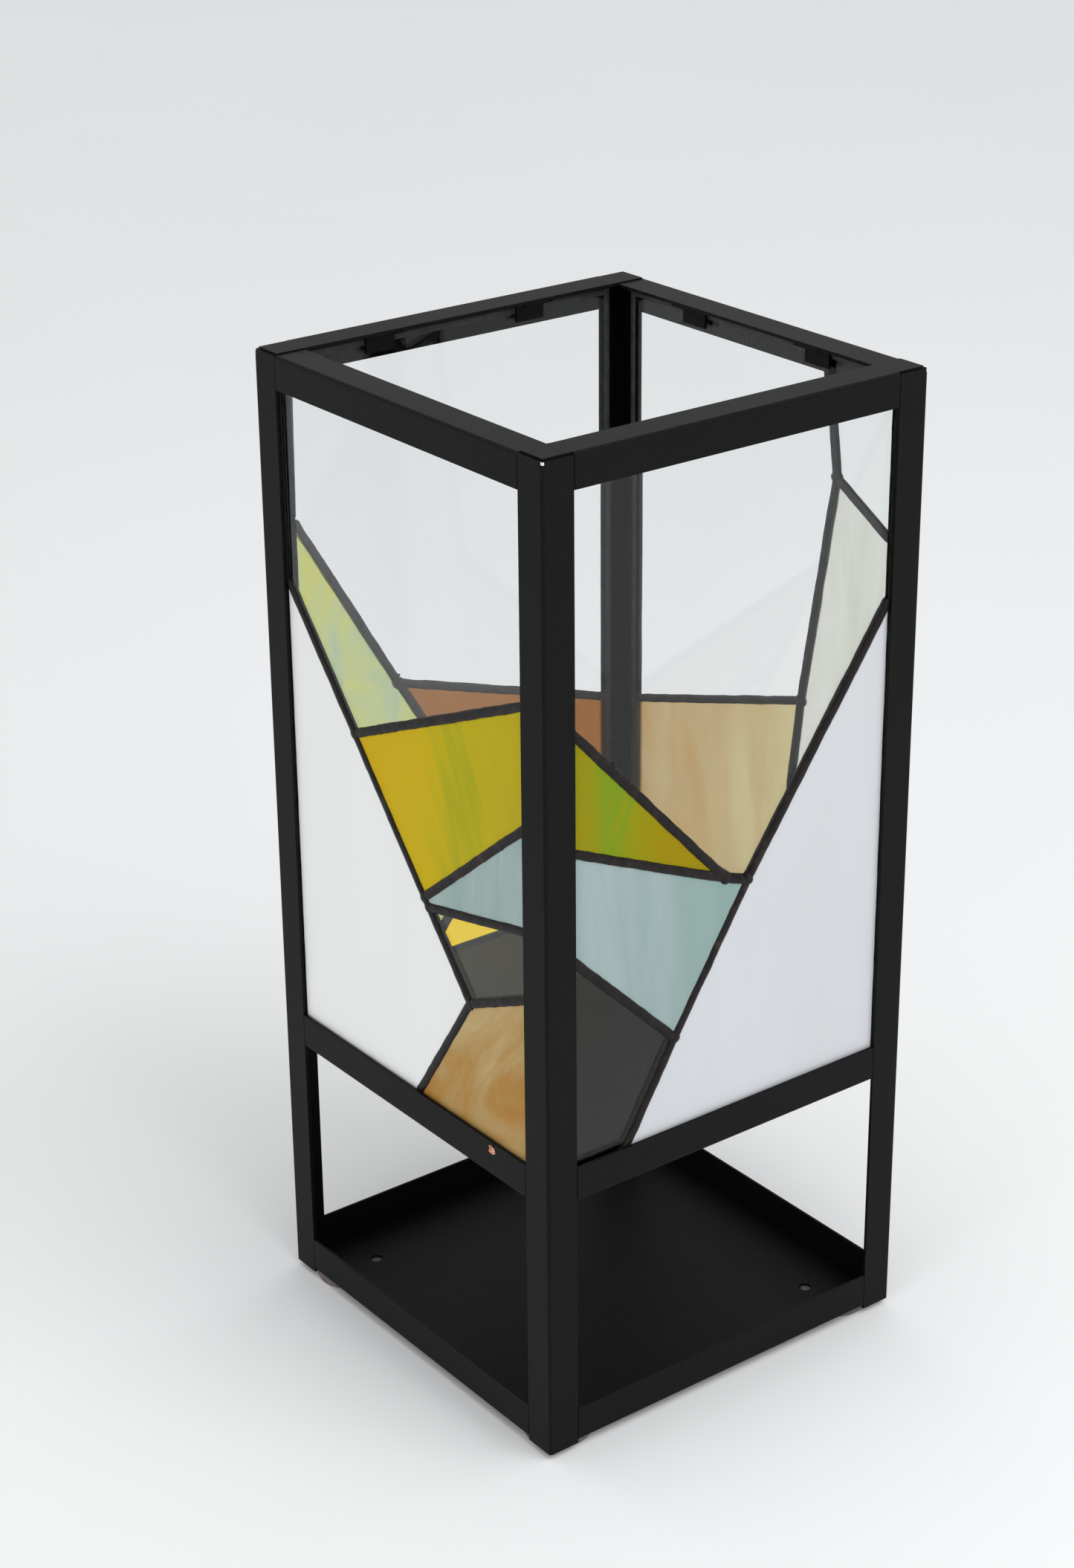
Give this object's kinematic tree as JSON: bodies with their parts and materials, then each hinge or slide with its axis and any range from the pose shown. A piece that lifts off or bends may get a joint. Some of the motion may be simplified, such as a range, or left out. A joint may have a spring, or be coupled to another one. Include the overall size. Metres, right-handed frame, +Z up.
{
  "type": "stained glass table lamp",
  "caption": "Square open-topped black steel lamp frame with leaded panels of clear, opal and coloured glass over an open bay and a tray.",
  "frame": {"origin": "on the surface the lamp stands on, under the middle of its four feet", "axes": "+Z up, the front panel faces -Y and the left panel faces -X"},
  "size_m": [0.2, 0.2, 0.455],
  "materials": {
    "amber_glass": "swirled amber and cream, glossy",
    "blue_grey_glass": "streaky blue grey, glossy",
    "brown_glass": "streaky brown orange, glossy",
    "clear_glass": "clear, glossy",
    "clip_paint": "black paint, satin",
    "cream_opal": "opalescent cream, glossy",
    "foot_pad": "matt dark brown",
    "frame_paint": "black powder coat, fine satin texture",
    "green_opal": "opalescent yellow green, glossy",
    "peach_opal": "streaky peach and cream, glossy",
    "solder": "lumpy solder over copper foil with a black patina",
    "white_opal": "opalescent white, glossy",
    "yellow_glass": "streaky golden yellow with green wisps, glossy",
    "yellow_green_glass": "streaky olive green and amber, glossy"
  },
  "bodies": {
    "root": {"base_tray": "frame_paint", "clip_front_1": "clip_paint", "clip_front_2": "clip_paint", "clip_left_1": "clip_paint", "clip_left_2": "clip_paint", "clip_rear_1": "clip_paint", "clip_rear_2": "clip_paint", "clip_right_1": "clip_paint", "clip_right_2": "clip_paint", "foot_front_left": "foot_pad", "foot_front_right": "foot_pad", "foot_rear_left": "foot_pad", "foot_rear_right": "foot_pad", "front_glass_blue_grey": "blue_grey_glass", "front_glass_clear_lower": "clear_glass", "front_glass_clear_upper": "clear_glass", "front_glass_white": "white_opal", "front_glass_yellow_green": "yellow_green_glass", "front_solder": "solder", "left_glass_amber": "amber_glass", "left_glass_blue_grey": "blue_grey_glass", "left_glass_clear_lower": "clear_glass", "left_glass_clear_upper": "clear_glass", "left_glass_white": "white_opal", "left_glass_yellow": "yellow_glass", "left_solder": "solder", "mid_rail_front": "frame_paint", "mid_rail_left": "frame_paint", "mid_rail_rear": "frame_paint", "mid_rail_right": "frame_paint", "post_front_left": "frame_paint", "post_front_right": "frame_paint", "post_rear_left": "frame_paint", "post_rear_right": "frame_paint", "rear_glass_blue_grey": "blue_grey_glass", "rear_glass_brown": "brown_glass", "rear_glass_clear_upper": "clear_glass", "rear_glass_green_opal": "green_opal", "rear_glass_yellow": "yellow_glass", "rear_solder": "solder", "right_glass_amber": "amber_glass", "right_glass_blue_grey": "blue_grey_glass", "right_glass_clear_corner": "clear_glass", "right_glass_clear_upper": "clear_glass", "right_glass_cream": "cream_opal", "right_glass_peach": "peach_opal", "right_solder": "solder", "shelf_plate": "frame_paint", "top_rail_front": "frame_paint", "top_rail_left": "frame_paint", "top_rail_rear": "frame_paint", "top_rail_right": "frame_paint"}
  },
  "joints": []
}
